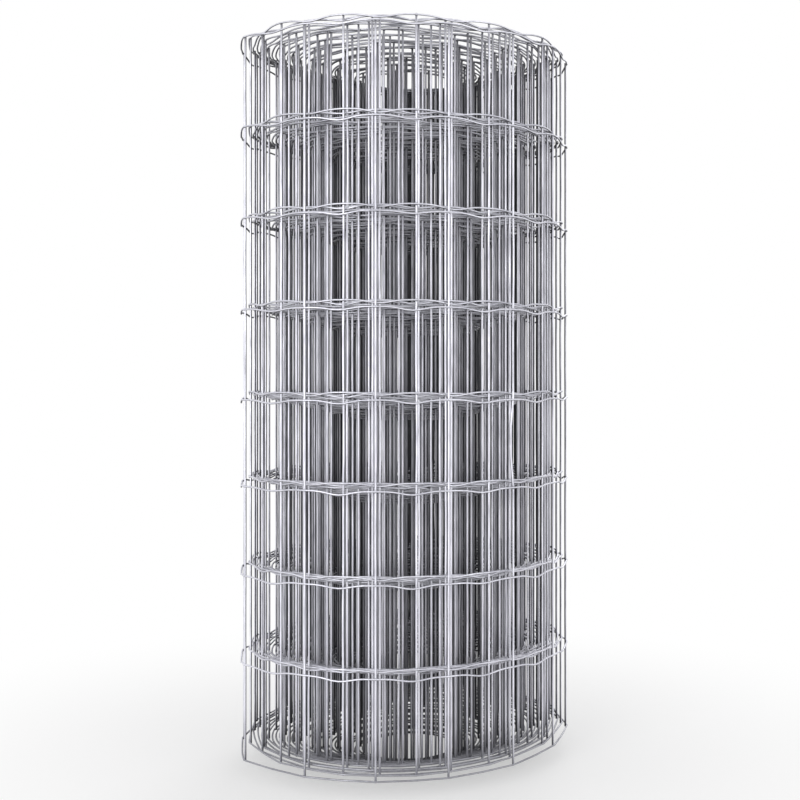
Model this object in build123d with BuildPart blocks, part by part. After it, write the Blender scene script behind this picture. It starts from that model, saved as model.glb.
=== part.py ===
from build123d import *
import os

os.makedirs("parts", exist_ok=True)

# A roll of welded wire mesh fencing, standing on end. All sizes are in millimetres.
# Z runs up the axis of the roll, and Z = 0 is the floor that its innermost turns stand on.

# The sheet, as it comes off the loom
mesh_pitch = 100.0  # from one line wire to the next, up the height of the fence
mesh_rows = 8  # openings from one selvage wire to the other
line_wire = 2.0  # diameter of the wires that run round the roll

# The roll that it is wound into
outer_diameter = 390.0
bore_diameter = 100.0
turns = 31

# The turns have slid along each other, so the roll has run out like a telescope
run_out = 30.0  # how much higher the outer tight turns sit than the innermost ones
slipped_turns = 1  # turns on the outside that have dropped again
slip = 8.0  # how far they have dropped below the tight turns beside them

# How the edges of the turns read on the two ends
turns_per_ring = 3  # tight turns that show as one ring
ring_gap_depth = 5.0

outer_radius = outer_diameter / 2
bore_radius = bore_diameter / 2
stay_radius = outer_radius - line_wire  # the stays stand just inside the line wires
sheet_height = mesh_rows * mesh_pitch + line_wire
turn_pitch = (stay_radius - bore_radius) / turns

tight_turns = turns - slipped_turns
tight_radius = bore_radius + tight_turns * turn_pitch
rings = tight_turns // turns_per_ring
ring_pitch = (tight_radius - bore_radius) / rings
ring_gap = ring_pitch / 2
ring_step = run_out / (rings - 1)
slipped_foot = run_out - slip


def end_of_tight_turns(level, inward):
    """Edge of the tight turns on one end, from the bore out to the slipped turn.

    Every ring has a flat land one step above the land inside it, and a V-shaped gap parts the two.
    level is the height of the innermost land, and inward is the way into the roll, 1 for up or -1 for down.
    """
    edge = []
    for ring in range(rings):
        ring_start = bore_radius + ring * ring_pitch
        ring_end = ring_start + ring_pitch
        land = level + ring * ring_step
        if ring > 0:
            edge.append((ring_start, land + inward * ring_gap_depth))
            ring_start += ring_gap / 2
        if ring < rings - 1:
            ring_end -= ring_gap / 2
        edge += [(ring_start, land), (ring_end, land)]
    return edge


def face_of_slipped_turn():
    """Outside of the roll from its lower to its upper selvage wire.

    The line wires stand proud of the stays that they cross, and the selvage wires close off the two ends.
    """
    lower_end = slipped_foot
    upper_end = slipped_foot + sheet_height
    face = [(tight_radius, lower_end), (outer_radius, lower_end), (stay_radius, lower_end + line_wire)]
    for row in range(1, mesh_rows):
        wire_level = lower_end + row * mesh_pitch + line_wire / 2
        face += [
            (stay_radius, wire_level - line_wire / 2),
            (outer_radius, wire_level),
            (stay_radius, wire_level + line_wire / 2),
        ]
    face += [(stay_radius, upper_end - line_wire), (outer_radius, upper_end), (tight_radius, upper_end)]
    return face


lower_edge = end_of_tight_turns(0, 1)
upper_edge = end_of_tight_turns(sheet_height, -1)

with BuildPart() as mesh_roll:
    with BuildSketch(Plane.XZ) as wall_section:
        with BuildLine() as wall_outline:
            Polyline(*lower_edge, *face_of_slipped_turn(), *reversed(upper_edge), close=True)
        make_face()
    revolve(axis=Axis.Z)

mesh_roll.part.label = "mesh_roll"
export_step(mesh_roll.part, "parts/mesh_roll.step")
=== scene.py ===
# %% [markdown]
# # A roll of welded wire fencing
# The real thing is one sheet of welded mesh, nine line wires and almost three hundred stays, wound into a
# roll that stands on end. The frame comes first: it holds the solid roll from the CAD, its bodies and its
# box, and every wire made here rides on that frame. The wires could be textured on the solid instead, but
# a roll of mesh is mostly air, so they are all made as geometry.

# %% Load the frame
import bpy
import numpy as np
from math import pi, radians, atan2
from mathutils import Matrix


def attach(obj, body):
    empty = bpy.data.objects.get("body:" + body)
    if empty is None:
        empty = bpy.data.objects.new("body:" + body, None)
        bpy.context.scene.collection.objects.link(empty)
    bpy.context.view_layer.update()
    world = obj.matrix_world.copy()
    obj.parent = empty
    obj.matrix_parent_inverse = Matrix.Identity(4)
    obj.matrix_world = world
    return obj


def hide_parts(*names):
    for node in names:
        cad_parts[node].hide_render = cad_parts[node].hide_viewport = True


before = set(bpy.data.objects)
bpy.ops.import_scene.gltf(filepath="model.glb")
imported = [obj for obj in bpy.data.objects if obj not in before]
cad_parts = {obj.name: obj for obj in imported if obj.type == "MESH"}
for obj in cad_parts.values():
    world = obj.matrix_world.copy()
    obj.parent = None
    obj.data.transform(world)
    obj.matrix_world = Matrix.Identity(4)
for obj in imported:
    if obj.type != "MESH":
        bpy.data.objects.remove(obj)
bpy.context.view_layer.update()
scene = bpy.context.scene

# %% [markdown]
# ## The camera
# A camera that looks level along +Y keeps upright wires upright, as in the photograph. Tilting it would
# make them converge, so the small rest of the framing is done with the lens shift. Its distance matters
# more than the lens: near the roll the top line wires arch up and the bottom ones sag.

# %% Set the camera
eye = (0.015, -1.563, 0.448)
camera_data = bpy.data.cameras.new("camera")
camera_data.lens = 58.4
camera_data.sensor_width = 36.0
camera_data.shift_x = -0.025
camera_data.shift_y = -0.031
camera = bpy.data.objects.new("camera", camera_data)
camera.location = eye
camera.rotation_euler = (radians(90), 0, 0)
scene.collection.objects.link(camera)
scene.camera = camera
print(f"camera at {eye} m, lens {camera_data.lens:.1f} mm")

# %% [markdown]
# ## The sheet's path through the roll
# Seen from above the sheet is one long spiral. It could be drawn as rings, which is simpler, but then no
# turn leads to the next, and rings give themselves away at the ends of the roll. So every place on the
# sheet has a number, its turn, from 0 at the bore to 31 at the outer end, and one function says how far
# from the axis that place lies. The roll isn't round: it is a little oval, each turn has its own flats,
# and the outermost one has sprung away from the rest, most of all at one corner on the left.

# %% Wind the spiral
turns = 31
stay_wire = 0.0025                         # diameters of the two kinds of wire
line_wire = 0.0020
weld_sink = 0.00035                        # how far the two wires are pressed into each other
line_stand_off = (stay_wire + line_wire) / 2 - weld_sink
bore_turn = 0.050 + stay_wire / 2          # the innermost stays' centres, round a bore of 100 mm
turn_pitch = 0.00446
spring = 0.0012                            # how far the outermost turn has sprung away
corner_spring = 0.0107                     # and how much further at its corner
corner_bearing = radians(213.5)
corner_width = radians(9)
end_spring = 0.004                         # and at the very end of the sheet
oval_at_bore = 0.002                       # how oval the innermost turn is
oval_growth = 0.013                        # and how much more oval the outermost
three_sided = 0.003
long_flat = 0.0004                         # flats that move round the roll from turn to turn
short_flat = 0.0003


def ease(x, start, end):
    """0 before start, 1 after end, and smooth between."""
    part = np.clip((x - start) / (end - start), 0, 1)
    return part * part * (3 - 2 * part)


def bearing(turn):
    """The direction of a place on the sheet, seen from above. Whole turns are at the back of the roll."""
    return 2 * pi * turn + pi / 2


def stay_radius(turn):
    """How far from the axis the centre of a stay lies at that turn."""
    angle = bearing(turn)
    from_end = turn - turns
    off_corner = (angle - corner_bearing + pi) % (2 * pi) - pi
    corner = np.exp(-off_corner ** 2 / (2 * corner_width ** 2))
    sprung = ease(from_end, -1.2, -0.7) * (spring + corner_spring * corner)
    sprung = sprung + end_spring * ease(from_end, -0.25, 0)
    oval = (oval_at_bore + oval_growth * turn / turns) * np.cos(2 * angle - pi / 2)
    oval = oval + three_sided * turn / turns * np.cos(3 * (angle - radians(210)))
    flats = long_flat * np.cos(3 * angle + 0.4 * turn)
    flats = flats + short_flat * np.cos(5 * angle - 0.5 * turn + 2)
    return bore_turn + turn_pitch * turn + sprung + oval + flats


print(f"stays' centres {1000 * stay_radius(0):.1f} mm from the axis at the bore, "
      f"{1000 * stay_radius(turns - 0.5):.1f} mm at the front of the outermost turn")

# %% [markdown]
# ## How the turns have slid
# A roll that has been carried runs out like a telescope. In this one the inner turns stand on the floor,
# each group of three sits a step above the group inside it, and the outermost turn has dropped again. One
# height for each turn would make every turn jump where it passes the next, so the height is a smooth
# function of the turn too. The lowest openings of the outer turns are taller at the front, so their bottom
# edge hangs a little.

# %% Let the turns slide
run_out = 0.030                            # from the innermost turns up to the highest
turns_per_step = 3
step_height = run_out / 9
slip = 0.008                               # how far the outermost turn has dropped
second_lift = 0.0012                       # the turn inside it was drawn up a little
edge_hang = 0.0075                         # of the bottom edge, at the front of the outer turns
loose_hang = 0.0035                        # and further on the turn inside the outermost
quick_wobble = 0.0006                      # no turn lies quite level
slow_wobble = 0.0004


def foot_height(turn):
    """How far the lower edge of the sheet is above the floor."""
    tight = np.minimum(turn, turns - 1.6)
    step = np.floor(tight / turns_per_step)
    climb = ease(tight - step * turns_per_step, turns_per_step - 0.6, turns_per_step)
    level = step_height * (step + climb) - slip * ease(turn, turns - 1.3, turns - 0.7)
    level = level + second_lift * ease(turn, turns - 2.3, turns - 1.8)
    wobbly = 1 - ease(turn, turns - 2.5, turns - 1.8)
    wobble = quick_wobble * np.sin(11.3 * turn) + slow_wobble * np.sin(4.1 * turn + 1)
    wobble = ease(turn, 0, 2) * wobbly * wobble
    return np.maximum(level + wobble, 0)


def edge_sag(turn):
    """How much lower the bottom edge itself hangs at that turn: most at the front, nothing at the back."""
    loose = loose_hang * ease(turn, turns - 3, turns - 2.3) * (1 - ease(turn, turns - 1.4, turns - 1))
    return (edge_hang * ease(turn, turns - 9, turns - 2.5) + loose) * np.clip(-np.sin(bearing(turn)), 0, 1)


print(f"foot {1000 * foot_height(turns - 2.5):.1f} mm up at the front of the third turn from outside, "
      f"{1000 * foot_height(turns - 0.5):.1f} mm at the front of the outermost")

# %% [markdown]
# ## The length of the sheet
# A fence is sold by its length, and the stays are welded along that length, not at even angles round the
# roll. So the spiral is walked in small steps, and a table turns any distance along the sheet into its
# turn. A formula exists for a plain spiral, but not for one with flats and a corner.

# %% Unroll the sheet
def place(turn, stand_off=0.0):
    """Where that turn is in plan, as x and y."""
    angle = bearing(turn)
    radius = stay_radius(turn) + stand_off
    return np.stack([radius * np.cos(angle), radius * np.sin(angle)], -1)


steps_per_turn = 1440
fine_turns = np.linspace(0, turns, turns * steps_per_turn + 1)
steps = np.diff(place(fine_turns), axis=0)
run = np.concatenate([[0], np.cumsum(np.hypot(steps[:, 0], steps[:, 1]))])
print(f"sheet {run[-1]:.2f} m long")

# %% [markdown]
# ## The stays that the photograph shows
# The loom welds a stay every 80 mm or so. One even pitch along the whole sheet would be simplest, but the
# front stays of the two outer turns are plain to see, and the eye compares them first. So their bearings are
# written down here, as worked out once from the columns of the picture that they stand in, and the stays
# between them are spread evenly.

# %% Place the stays of the two outer turns
stay_pitch = 0.0800
bare_end = 0.006                           # no stay nearer than this to the outer end of the sheet
front_bearings = {                         # in degrees, seen from above, by whole turn
    29: (249.5, 273.6, 302.0, 332.6),
    30: (213.5, 237.5, 260.3, 284.8, 312.1),
}


def evenly(before, after):
    """Places from one stay to the next fixed one, that one included, as near the pitch as they go."""
    return np.linspace(before, after, max(1, round((after - before) / stay_pitch)) + 1)[1:]


seen_runs = [np.interp(turn + (degrees - 90) / 360, fine_turns, run)
             for turn, bearings in front_bearings.items() for degrees in bearings]
stay_runs = [seen_runs[0]]
for before, after in zip(seen_runs, seen_runs[1:]):
    stay_runs += list(evenly(before, after))
stay_runs += list(np.arange(seen_runs[-1] + stay_pitch, run[-1] - bare_end, stay_pitch))
print(len(stay_runs), "stays from the first one in front of the second turn to the outer end")

# %% [markdown]
# ## The hidden stays
# Random places would do for the hidden turns, but they leave holes to look through, and the real roll has
# almost none. So each hidden turn, from the outside in, tries to shift its stays by up to half a pitch, and
# keeps the shift whose stays stand in the most open sight lines. Just under the top of the roll the camera
# sees the white over the bore through the front half alone, so what that half closes counts again.

# %% Find the sight lines that stays close
sight_lines = np.linspace(-0.125, 0.125, 1501)      # slopes in plan, from the camera's place


def stands_in(runs, front_only):
    """Which sight lines the stays at those runs stand in."""
    x, y = place(np.interp(runs, run, fine_turns)).T
    away = y - eye[1]
    hit = abs(sight_lines[:, None] - (x - eye[0]) / away) < stay_wire / 2 / away
    return (hit & ((y < 0) | (not front_only))).any(axis=1)


closed = stands_in(stay_runs, False)
closed_in_front = stands_in(stay_runs, True)
print(f"the two outer turns close {closed.mean():.3f} of the sight lines")

# %% Space the hidden stays
front_weight = 0.6
shifts = np.linspace(-0.5, 0.5, 41) * stay_pitch
bore_end = 0.008                           # no stay nearer than this to the inner end of the sheet
for turn in range(min(front_bearings) - 1, 0, -1):
    pitch_slack = 0.05 if turn > 3 else 0.1          # the shortest turns can't keep as near the pitch
    best_gain = -1
    for shift in shifts:
        start = np.interp(turn + 0.5, fine_turns, run) + shift
        here = np.concatenate([[start], evenly(start, stay_runs[0])[:-1]])
        pitch_here = (stay_runs[0] - start) / len(here)
        newly_closed = (stands_in(here, False) & ~closed).mean()
        newly_in_front = (stands_in(here, True) & ~closed_in_front).mean()
        gain = newly_closed + front_weight * newly_in_front
        if gain > best_gain and abs(pitch_here / stay_pitch - 1) < pitch_slack:
            best_gain = gain
            best = here
    closed |= stands_in(best, False)
    closed_in_front |= stands_in(best, True)
    stay_runs = list(best) + stay_runs
stay_runs = list(np.arange(stay_runs[0] - stay_pitch, bore_end, -stay_pitch)[::-1]) + stay_runs

stay_runs = np.array(stay_runs)
stay_turns = np.interp(stay_runs, run, fine_turns)
stay_count = len(stay_turns)
gaps = 1000 * np.diff(stay_runs)
print(f"{stay_count} stays, {gaps.min():.0f} to {gaps.max():.0f} mm apart")
print(f"sight lines left open: {1 - closed.mean():.3f}, in the front half {1 - closed_in_front.mean():.3f}")

# %% [markdown]
# ## Wires as swept rings
# A curve with a bevel would make a wire, but hundreds of curve objects are slow to turn into one mesh. So a
# ring of points is swept along the path in plain numbers, with quads from each ring to the next and a flat
# cut end at both ends.

# %% Sweep a ring along a path
def round_wire(path, thickness, sides):
    """The corners of one round wire: a ring of them round each point of its path."""
    along = np.gradient(path, axis=0)
    along /= np.linalg.norm(along, axis=1)[:, None]
    up = np.array([0, 0, 1.0]) if abs(along[0][2]) < 0.7 else np.array([0, 1.0, 0])
    side = np.cross(up, along)
    side /= np.linalg.norm(side, axis=1)[:, None]
    other = np.cross(along, side)
    turned = (2 * pi * np.arange(sides) / sides)[None, :, None]
    ring = np.cos(turned) * side[:, None, :] + np.sin(turned) * other[:, None, :]
    return (path[:, None, :] + thickness / 2 * ring).reshape(-1, 3)


def wire_faces(start, ring_count, sides):
    """The quads of one wire whose first corner has the number start, and its two cut ends."""
    ring_starts = start + np.arange(ring_count - 1)[:, None] * sides
    here = ring_starts + np.arange(sides)
    beside = ring_starts + (np.arange(sides) + 1) % sides
    quads = np.stack([here, beside, beside + sides, here + sides], -1).reshape(-1, 4)
    last_ring = start + (ring_count - 1) * sides
    return quads, [list(range(start, start + sides))[::-1], list(range(last_ring, last_ring + sides))]


quads_of_trial, ends_of_trial = wire_faces(0, 4, 8)
print(f"a wire of 4 rings with 8 sides has {len(quads_of_trial)} quads and {len(ends_of_trial)} cut ends")

# %% [markdown]
# ## A map for the export
# The export paints each finish onto a flat map named OFBake, and unwrapping hundreds of wires there is
# slow and leaves faces on top of each other. A swept wire is already a strip of rings, so its places are
# worked out: the rings of all the wires follow each other up tall columns, and the cut ends stand in a row
# along the top.

# %% Lay out the map
column_top = 0.96                          # where the columns end and the row of cut ends begins
cut_end_row = 0.98


def wire_map(quad_count, end_count, sides):
    """Places in the map for the quads of the wires and then for their cut ends."""
    ring_no, side_no = np.divmod(np.arange(quad_count), sides)
    columns = max(1, round(quad_count ** 0.5 / (sides + 1)))
    tall = ring_no[-1] // columns + 1
    column, level = np.divmod(ring_no, tall)
    across = (column * (sides + 1) + side_no)[:, None] + np.array([0, 1, 1, 0])
    upward = level[:, None] + np.array([0, 0, 1, 1])
    quad_places = np.stack([across / (columns * (sides + 1)), column_top * upward / tall], -1)
    turned = 2 * pi * np.arange(sides) / sides
    middle = (np.arange(end_count) + 0.5)[:, None]
    end_across = (middle + 0.4 * np.cos(turned)) / end_count
    end_upward = cut_end_row + 0 * middle + 0.01 * np.sin(turned)
    end_places = np.stack([end_across, end_upward], -1)
    return np.concatenate([quad_places.reshape(-1, 2), end_places.reshape(-1, 2)])


print(f"the cut ends stand in a row at {cut_end_row} of the map's height")

# %% [markdown]
# ## From numbers to a piece
# Blender takes a mesh as lists of corners and faces. One object for each wire would be simple too, but slow
# with hundreds of them, so all the wires of a kind become one piece.

# %% Make pieces from numbers
def new_piece(name, corners, faces, places, flat_count=0):
    """A piece with its map. All its faces are smooth but the last flat_count of them."""
    mesh = bpy.data.meshes.new(name)
    mesh.from_pydata(corners.tolist(), [], faces)
    mesh.polygons.foreach_set("use_smooth", [True] * (len(faces) - flat_count) + [False] * flat_count)
    mesh.uv_layers.new(name="OFBake").uv.foreach_set("vector", places.ravel())
    mesh.update()
    piece = bpy.data.objects.new(name, mesh)
    scene.collection.objects.link(piece)
    print(f"{name}: {sum(len(face) - 2 for face in faces)} triangles")
    return piece


def sweep(name, paths, thickness, sides):
    """One mesh of round wires along paths, which are arrays of points in metres."""
    corners, quads, cut_ends, start = [], [], [], 0
    for path in paths:
        corners.append(round_wire(path, thickness, sides))
        quads_here, ends_here = wire_faces(start, len(path), sides)
        quads.append(quads_here)
        cut_ends += ends_here
        start += len(path) * sides
    quads = np.concatenate(quads)
    places = wire_map(len(quads), len(cut_ends), sides)
    return new_piece(name, np.concatenate(corners), quads.tolist() + cut_ends, places, len(cut_ends))


print("a piece is one mesh with a map named OFBake")

# %% [markdown]
# ## The stays
# A stay is a straight wire in the catalogue, but not after a trip on a lorry: between its welds each one
# bows by a fraction of a millimetre, the whole of it leans a little, and one at the front right has been
# knocked well out of line. Noise all along it would bend it at the welds too, which the line wires don't
# let a real one do, so each stretch gets a bow of its own that is nothing at either end.

# %% Shape the stays
rows = 9
row_pitch = 0.100
sheet_height = 0.802
lowest_row = 0.0015                        # from the cut end of the stays up to the lowest line wire
points_per_mesh = 3
stay_levels = np.linspace(0, rows - 1, (rows - 1) * points_per_mesh + 1)    # counted in openings
middle_level = (rows - 1) / 2
sideways_bow = 0.00025
outward_bow = 0.00015
lean_spread = 0.0003                       # at either end of a stay
knock = 0.0040
knocked_opening = 3                        # the fourth one up
rng = np.random.default_rng(7)


def wander():
    """How far each point of each stay is out of line: nothing at the welds, most halfway between them."""
    bow = np.sin(pi * (stay_levels % 1.0))
    opening = np.minimum(stay_levels.astype(int), rows - 2)
    return rng.normal(0, 1, (stay_count, rows - 1))[:, opening] * bow


sideways = sideways_bow * wander()
outward = outward_bow * wander()
lean = lean_spread * rng.normal(0, 1, (stay_count, 1)) * (stay_levels / middle_level - 1)
knocked = int(np.argmin(abs(stay_runs - seen_runs[-1])))
print(f"stays bow by up to {1000 * abs(sideways).max():.2f} mm sideways "
      f"and {1000 * abs(outward).max():.2f} mm outwards")
sideways[knocked] -= knock * np.sin(pi * np.clip(stay_levels - knocked_opening, 0, 1))
print(f"stay {knocked + 1} is knocked {1000 * knock:.0f} mm out of line")

# %% Make the stays
stay_sides = 10
off_floor = 0.0001
foot_cut = 0.0003                          # the shears don't cut every stay at the same place
top_cut = 0.0005
stay_paths = []
for n, turn in enumerate(stay_turns):
    angle = bearing(turn)
    radius = stay_radius(turn)
    foot = foot_height(turn)
    across = sideways[n] + lean[n]
    x = (radius + outward[n]) * np.cos(angle) - across * np.sin(angle)
    y = (radius + outward[n]) * np.sin(angle) + across * np.cos(angle)
    z = foot + lowest_row + row_pitch * stay_levels
    z[0] = foot - edge_sag(turn) + off_floor + foot_cut * rng.random()
    z[-1] = foot + sheet_height + top_cut * rng.random()
    stay_paths.append(np.stack([x, y, z], 1))
stays = sweep("stays", stay_paths, stay_wire, stay_sides)

# %% [markdown]
# ## The line wires
# A line wire runs the whole length of the sheet, outside the stays. It dips between each pair of stays:
# these are the tension crimps that let a stretched fence give. The dip is narrow and the crest over the
# stay is broad, which a plain sine isn't, so a raised cosine to a higher power makes it. Inside the roll
# the tension has pulled the crimps flatter, on the outer turns the wire cuts the corner from stay to stay,
# and the lowest wire has almost no crimp and cuts its corners most.

# %% Shape a line wire
# how far each row stands off the even pitch in the picture: either the loom or the picture isn't exact
row_drift = np.array([0, 0.0015, 0, 0, -0.0036, -0.0041, -0.0020, -0.0009, 0])
levels = lowest_row + row_pitch * np.arange(rows) + row_drift
points_between = 12                        # from one stay to the next
share = np.arange(points_between) / points_between
dip = (0.5 - 0.5 * np.cos(2 * pi * share)) ** 2.2
crimp = 0.0036
crimp_spread = 0.16                        # no two crimps are equally deep
lowest_crimp = 0.1                         # share of a crimp that the lowest wire has
row_wander = 0.0003
corner_cut = 0.45                          # share of the way to a straight run, on the outer turns
lowest_corner_cut = 0.7
end_stub = 0.004                           # of wire beyond the first and the last stay


def line_path(row):
    """The centre line of one line wire, from the bore to the outer end."""
    lowest = row == 0
    crimps = crimp * (1 + crimp_spread * rng.normal(0, 1, stay_count)) * (lowest_crimp if lowest else 1.0)
    crimps *= 0.55 + 0.45 * ease(stay_turns, turns - 5, turns - 2)    # little over half as deep in the roll
    heights = row_wander * rng.normal(0, 1, stay_count + 1)
    pieces = []
    for n in range(stay_count - 1):
        between = np.interp(stay_runs[n] + share * (stay_runs[n + 1] - stay_runs[n]), run, fine_turns)
        bent = place(between, line_stand_off)
        ends = place(stay_turns[n:n + 2], line_stand_off)
        straight = ends[0] + share[:, None] * (ends[1] - ends[0])
        cut = 0.05 + (lowest_corner_cut if lowest else corner_cut) * ease(stay_turns[n], 20, 29.5)
        plan = (1 - cut) * bent + cut * straight
        height = foot_height(between) + levels[row] - crimps[n] * dip
        height = height + heights[n] + share * (heights[n + 1] - heights[n])
        pieces.append(np.column_stack([plan, height - (edge_sag(between) if lowest else 0)]))
    last = stay_turns[-1]
    last_height = foot_height(last) + levels[row] + heights[stay_count - 1]
    pieces.append([[*place(last, line_stand_off), last_height - (edge_sag(last) if lowest else 0)]])
    return with_stubs(np.concatenate(pieces))


def with_stubs(path):
    """The path with a short straight stub at each end, and nowhere below the floor."""
    first_step = path[1] - path[0]
    last_step = path[-1] - path[-2]
    before = path[0] - first_step * end_stub / np.linalg.norm(first_step)
    after = path[-1] + last_step * end_stub / np.linalg.norm(last_step)
    path = np.concatenate([[before], path, [after]])
    path[:, 2] = np.maximum(path[:, 2], line_wire / 2)
    return path


print(f"{points_between} points from stay to stay, crimps {1000 * crimp:.1f} mm deep")

# %% Make the line wires
line_sides = 8
line_wires, crossings = [], []
for row in range(rows):
    path = line_path(row)
    crossings.append(path[1::points_between][:stay_count])
    line_wires.append(sweep(f"line_wire_{row + 1}", [path], line_wire, line_sides))

# %% [markdown]
# ## The welds
# Where the wires cross, the welder has squeezed them together, and a low collar of metal stands round the
# joint. A flattened ball at each crossing gives that collar. Blender's own ball would have to be added and
# joined thousands of times, so the ball is written once as rings of corners, with one corner at each pole,
# and copied as numbers.

# %% Shape one collar
ball_rings = 5
ball_sides = 8
ball, ball_faces, ball_places = [], [], []
for ring_no in range(ball_rings + 1):
    level = pi * ring_no / ball_rings
    for side_no in range(ball_sides):
        around = 2 * pi * side_no / ball_sides
        ball.append([np.sin(level) * np.cos(around), np.sin(level) * np.sin(around), np.cos(level)])
ball = np.array([ball[0]] + ball[ball_sides:-ball_sides] + [ball[-1]])
last = len(ball) - 1
for side_no in range(ball_sides):
    beside = (side_no + 1) % ball_sides
    ball_faces.append([0, 1 + side_no, 1 + beside])
    ball_places += [(side_no + 0.5, 0), (side_no, 1), (side_no + 1, 1)]
    for ring_no in range(1, ball_rings - 1):
        above = 1 + (ring_no - 1) * ball_sides
        below = 1 + ring_no * ball_sides
        ball_faces.append([above + side_no, below + side_no, below + beside, above + beside])
        ball_places += [(side_no, ring_no), (side_no, ring_no + 1)]
        ball_places += [(side_no + 1, ring_no + 1), (side_no + 1, ring_no)]
    ball_faces.append([last - ball_sides + beside, last - ball_sides + side_no, last])
    ball_places += [(side_no + 1, ball_rings - 1), (side_no, ball_rings - 1), (side_no + 0.5, ball_rings)]
print(f"one collar: {len(ball)} corners, {len(ball_faces)} faces")

# %% Put a collar on every crossing
collar_along, collar_up, collar_out = 0.00165, 0.00150, 0.00100    # half its size each way
collar_spread = 0.12                       # no two collars are equally large
collar_depth = 0.52                        # share of the way from the line wire's centre to the stay's
weld_corners, weld_faces, weld_places = [], [], []
cells_across = int(np.ceil((rows * stay_count) ** 0.5))            # every collar has its own cell in the map
for row in range(rows):
    for n, centre in enumerate(crossings[row]):
        angle = bearing(stay_turns[n])
        out = np.array([np.cos(angle), np.sin(angle), 0])
        along = np.array([-np.sin(angle), np.cos(angle), 0])
        up = np.array([0, 0, 1.0])
        size = 1 + collar_spread * rng.normal()
        middle = centre - out * (line_stand_off * collar_depth)
        collar = (middle + ball[:, :1] * along * collar_along * size
                  + ball[:, 1:2] * up * collar_up * size + ball[:, 2:] * out * collar_out)
        collar[:, 2] = np.maximum(collar[:, 2], 0)
        start = len(ball) * len(weld_corners)
        weld_faces += [[start + corner for corner in face] for face in ball_faces]
        cell = np.array([len(weld_corners) % cells_across, len(weld_corners) // cells_across])
        weld_places.append((cell + 0.9 * np.array(ball_places) / (ball_sides, ball_rings)) / cells_across)
        weld_corners.append(collar)
print(len(weld_corners), "welds")
welds = new_piece("welds", np.concatenate(weld_corners), weld_faces, np.concatenate(weld_places))

# %% [markdown]
# ## Shader maths in plain Python
# Long chains of Math nodes are hard to read as code. This small class wraps one socket, so that 1 - mask
# or mask * 0.5 adds the Math node itself. Every other node comes from one function that takes its type, its
# settings and its inputs, so a whole finish reads as a list of what feeds what.

# %% Write the shader helpers
class Field:
    """A socket that understands plus, minus and times. Its owner is a material or the world."""

    def __init__(self, owner, socket):
        self.owner = owner
        self.socket = socket

    def maths(self, operation, left, right):
        return node(self.owner, "ShaderNodeMath", {"operation": operation}, [left, right])

    def __add__(self, other):
        return self.maths("ADD", self, other)

    def __radd__(self, other):
        return self.maths("ADD", other, self)

    def __sub__(self, other):
        return self.maths("SUBTRACT", self, other)

    def __rsub__(self, other):
        return self.maths("SUBTRACT", other, self)

    def __mul__(self, other):
        return self.maths("MULTIPLY", self, other)

    def __rmul__(self, other):
        return self.maths("MULTIPLY", other, self)


def node(owner, kind, settings=None, inputs=(), output=0):
    """A node of that kind: settings first, then the values or links of its sockets, by place or by name."""
    made = owner.node_tree.nodes.new(kind)
    for name, value in (settings or {}).items():
        if name == "stops":
            set_stops(made.color_ramp.elements, value)
        else:
            setattr(made, name, value)
    for key, value in inputs.items() if isinstance(inputs, dict) else enumerate(inputs):
        if isinstance(value, Field):
            owner.node_tree.links.new(value.socket, made.inputs[key])
        else:
            made.inputs[key].default_value = value
    if made.outputs:
        return Field(owner, made.outputs[output])


def set_stops(ramp, stops):
    """Give a colour ramp those stops, each a position and a colour."""
    while len(ramp) < len(stops):
        ramp.new(0.5)
    for stop, (position, colour) in zip(ramp, stops):
        stop.position = position
        stop.color = colour


def vector_maths(owner, operation, *inputs):
    """A Vector Math node: a vector, or a number where the operation gives one."""
    output = "Value" if operation in ("DOT_PRODUCT", "LENGTH") else "Vector"
    return node(owner, "ShaderNodeVectorMath", {"operation": operation}, inputs, output)


def fade(owner, value, start, end, low, high):
    """low where the value is start, high where it is end, and smooth between."""
    return node(owner, "ShaderNodeMapRange", {"interpolation_type": "SMOOTHSTEP"},
                {"Value": value, "From Min": start, "From Max": end, "To Min": low, "To Max": high})


def new_material(name):
    """An empty node material."""
    material = bpy.data.materials.new(name)
    material.use_nodes = True
    material.node_tree.nodes.clear()
    return material


print("shader helpers ready")

# %% [markdown]
# ## Painted shade on the wires
# Deep in the real roll a wire mirrors only other wires, so it looks far darker than the ones outside, and
# so does the side of every wire that is turned inwards or down. The line wires near the floor are painted
# darker too, and that is painted shade as well. The renderer works some of this out by itself, but thin
# wires in a white studio let too much light through, so a mask paints that shade into the colour of each
# spot. It is measured on the roll itself, from the axis and from the floor, so it stays put from every side.

# %% Write the mask of painted shade
fade_round = 0.9                           # how far round a wire its sheltered side takes to darken
# painted shade near the floor reaches this high
floor_shade_height = 0.075


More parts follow.
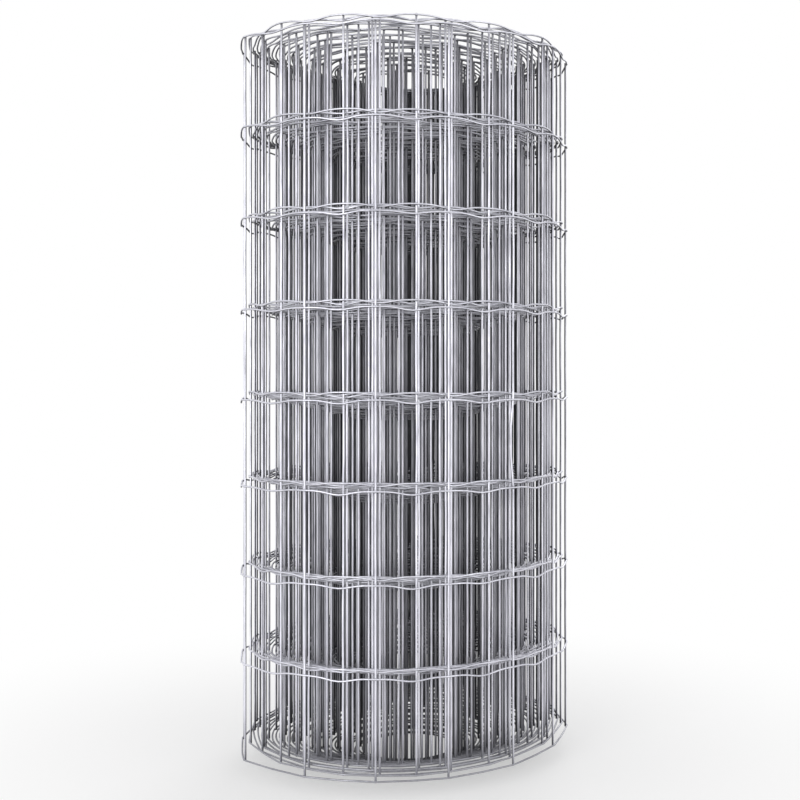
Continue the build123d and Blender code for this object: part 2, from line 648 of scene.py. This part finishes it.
def painted_shade_mask(material, spot, edge, from_below, light_turns, deepest, dirty):
    """How much painted shade a spot on a wire gets, from 0 to 1.

    A side is open while the dot product of outwards and its own direction is over edge, and from_below says
    how much an underside counts as turned away; a side turned away gets painted shade. Turns outside the
    first radius of light_turns are light, and those inside the second get painted shade by the share deepest.
    At the floor every wire gets painted shade by the share given last.
    """
    in_plan = vector_maths(material, "MULTIPLY", spot, (1, 1, 0))
    outwards = vector_maths(material, "ADD", vector_maths(material, "NORMALIZE", in_plan), (0, 0, from_below))
    facing = node(material, "ShaderNodeTexCoord", output="Normal")
    turned_out = vector_maths(material, "DOT_PRODUCT", outwards, facing)
    # painted shade on the sides of a wire turned inwards or down
    turned_in = fade(material, turned_out, edge, edge - fade_round, 0.0, 1.0)
    off_axis = vector_maths(material, "LENGTH", in_plan)
    # painted shade on the turns deep in the roll
    deep = fade(material, off_axis, *light_turns, 0.0, deepest)
    height = vector_maths(material, "DOT_PRODUCT", spot, (0, 0, 1))
    # painted shade that darkens the wires towards the floor
    dirt = fade(material, height, floor_shade_height, 0.0, 0.0, dirty)
    return 1 - (1 - turned_in) * (1 - deep) * (1 - dirt)


# how high the painted shade at the floor reaches
print(f"wires are dirty up to {1000 * floor_shade_height:.0f} mm")

# %% [markdown]
# ## Hot-dip zinc
# New galvanised wire is bright where the zinc ran thin and dull where it froze thick, in streaks along the
# wire. Both come from noise that is squeezed across the wire and stretched along it. Roughness follows the
# same streaks, because the dull zinc is also the rougher, and a fine bump keeps the highlight from being a
# ruled line. A picture of zinc would do as well, but it would repeat, and no picture is needed for streaks.

# %% Write the zinc
bright_to_dull = [(0.15, (0.79, 0.79, 0.86, 1)), (0.5, (0.67, 0.67, 0.735, 1)), (0.9, (0.46, 0.46, 0.52, 1))]


def zinc(name, stretch, inner, dull, **sides):
    """Galvanised wire with painted shade: stretch squeezes the noise in x, y and z, inner is what the zinc is
    multiplied by where the painted shade is full, and the settings after dull say where that shade is
    painted.
    """
    material = new_material(name)
    spot = node(material, "ShaderNodeTexCoord", output="Object")
    squeezed = node(material, "ShaderNodeMapping", inputs={"Vector": spot, "Scale": stretch})
    streaks = node(material, "ShaderNodeTexNoise", inputs={"Vector": squeezed, "Scale": 900.0, "Detail": 4.0})
    patches = node(material, "ShaderNodeTexNoise", inputs={"Vector": spot, "Scale": 28.0, "Detail": 3.0})
    grain = node(material, "ShaderNodeTexNoise", inputs={"Vector": squeezed, "Scale": 3500.0, "Detail": 2.0})
    dullness = (streaks - 0.5) * 1.1 + (patches - 0.5) * 1.3 + 0.45 + dull
    bright = node(material, "ShaderNodeValToRGB", {"stops": bright_to_dull}, [dullness])
    # painted shade: the zinc is multiplied down towards inner on inward sides, undersides, deep turns and
    # near the floor
    painted_shade = painted_shade_mask(material, spot, **sides)
    # a Mix node has its two colours in sockets 6 and 7, and its mixed colour in output 2
    colour = node(material, "ShaderNodeMix", {"data_type": "RGBA", "blend_type": "MULTIPLY"},
                  {"Factor": painted_shade, 6: bright, 7: (inner, inner, inner * 1.05, 1)}, output=2)
    bump = node(material, "ShaderNodeBump", inputs={"Height": grain, "Strength": 0.25, "Distance": 0.0001})
    surface = node(material, "ShaderNodeBsdfPrincipled", inputs={
        "Base Color": colour, "Roughness": dullness * 0.22 + 0.36, "Metallic": 0.75, "Normal": bump})
    node(material, "ShaderNodeOutputMaterial", inputs={"Surface": surface})
    return material


print(f"zinc is the dullest from {bright_to_dull[-1][0]} up, the brightest below {bright_to_dull[0][0]}")

# %% Dip each kind of wire
# inner and the settings after dull set how much painted shade each kind of wire gets, and where
stay_zinc = zinc("zinc_stays", stretch=(1, 1, 0.06), inner=0.04, dull=0.0, edge=0.54, from_below=0.2,
                 light_turns=(0.174, 0.088), deepest=0.68, dirty=0.15)
line_zinc = zinc("zinc_line_wires", stretch=(0.3, 0.3, 1), inner=0.07, dull=0.0, edge=0.50, from_below=1.0,
                 light_turns=(0.172, 0.085), deepest=0.48, dirty=0.65)
weld_zinc = zinc("zinc_welds", stretch=(1, 1, 1), inner=0.07, dull=0.25, edge=0.50, from_below=1.0,
                 light_turns=(0.172, 0.085), deepest=0.45, dirty=0.5)
for finish in (stay_zinc, line_zinc, weld_zinc):
    print(finish.name, len(finish.node_tree.nodes), "nodes")

# %% [markdown]
# ## Hand the wires to the frame
# In the real sheet every wire is welded to the next, so all of them are one body. Together they stand for
# the solid roll of the CAD, which stays in the simulation but is no longer seen.

# %% Ride on the root body
for piece, finish in [(stays, stay_zinc), (welds, weld_zinc)] + [(wire, line_zinc) for wire in line_wires]:
    piece.data.materials.append(finish)
    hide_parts("mesh_roll")
    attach(piece, "root")
    print(piece.name, "rides on root")

# %% [markdown]
# ## Floor and backdrop
# The roll stands on a pale floor that takes its shadow and turns into the white of the backdrop further
# out, so no horizon shows. Stronger lamps would make it white too, but they would burn out the zinc. So the
# white is a colour that only the rays to the camera, and those that metal or glass sends on, can see.

# %% Lay the floor
def background_rays(owner):
    """1 for the rays that show the background, straight or in a mirror, and 0 for those that light things."""
    seen = node(owner, "ShaderNodeLightPath", output="Is Camera Ray")
    mirrored = node(owner, "ShaderNodeLightPath", output="Is Glossy Ray")
    seen_through = node(owner, "ShaderNodeLightPath", output="Is Transmission Ray")
    return seen + mirrored + seen_through


floor_reach = 6.0                          # from the axis to each side of the floor
shadow_reach = 0.20                        # nearer the axis than this the paper is mostly as it is lit
white_from = 0.80                          # and further out than this it is all white
near_white = 0.45
floor_mesh = bpy.data.meshes.new("floor")
floor_corners = [(floor_reach * x, floor_reach * y, 0) for x, y in [(-1, -1), (1, -1), (1, 1), (-1, 1)]]
floor_mesh.from_pydata(floor_corners, [], [(0, 1, 2, 3)])
floor = bpy.data.objects.new("floor", floor_mesh)
scene.collection.objects.link(floor)

paper = new_material("pale_paper")
distance = vector_maths(paper, "LENGTH", node(paper, "ShaderNodeTexCoord", output="Object"))
far = fade(paper, distance, shadow_reach, white_from, near_white, 1.0)
lit = node(paper, "ShaderNodeBsdfDiffuse", inputs={"Color": (0.93, 0.93, 0.93, 1)})
white = node(paper, "ShaderNodeEmission", inputs={"Color": (1, 1, 1, 1), "Strength": 1.0})
shown = node(paper, "ShaderNodeMixShader", inputs=[far * background_rays(paper), lit, white])
node(paper, "ShaderNodeOutputMaterial", inputs={"Surface": shown})
floor_mesh.materials.append(paper)
print(f"floor {2 * floor_reach:.0f} m across")

# %% [markdown]
# ## Light
# Wire is thin and shiny, so small lamps would leave hard sparks along it. Three large soft lamps, a key at
# the front left, a weaker fill at the right and one behind for the far side, give each wire a broad
# highlight instead. The two in front stand low, because in the photograph the foot of the roll is as light
# as its top. A white world all round is what the zinc mirrors, and it lights the roll at two thirds of that.

# %% Light the roll
world = bpy.data.worlds.new("studio")
world.use_nodes = True
world.node_tree.nodes.clear()
dim = node(world, "ShaderNodeBackground", inputs={"Color": (1, 1, 1, 1), "Strength": 0.68})
plain = node(world, "ShaderNodeBackground", inputs={"Color": (1, 1, 1, 1), "Strength": 1.0})
whole = node(world, "ShaderNodeMixShader", inputs=[background_rays(world), dim, plain])
node(world, "ShaderNodeOutputWorld", inputs={"Surface": whole})
scene.world = world
scene.view_settings.view_transform = "Standard"


def soft_lamp(name, stands_at, aims_at, size, watts):
    """A large square lamp that faces the point it aims at."""
    data = bpy.data.lights.new(name, "AREA")
    data.size = size
    data.energy = watts
    lamp = bpy.data.objects.new(name, data)
    lamp.location = stands_at
    toward = np.array(aims_at) - np.array(stands_at)
    level = np.hypot(toward[0], toward[1])
    lamp.rotation_euler = (atan2(level, -toward[2]), 0, atan2(toward[1], toward[0]) - pi / 2)
    scene.collection.objects.link(lamp)
    print(f"{name}: {watts} W, {size} m across")


soft_lamp("key", (-2.0, -3.3, 0.95), (0, 0, 0.35), 1.8, 62)
soft_lamp("fill", (3.1, -2.7, 0.9), (0, 0, 0.35), 1.6, 23)
soft_lamp("back", (1.0, 3.2, 2.4), (0, 0, 0.35), 2.0, 42)
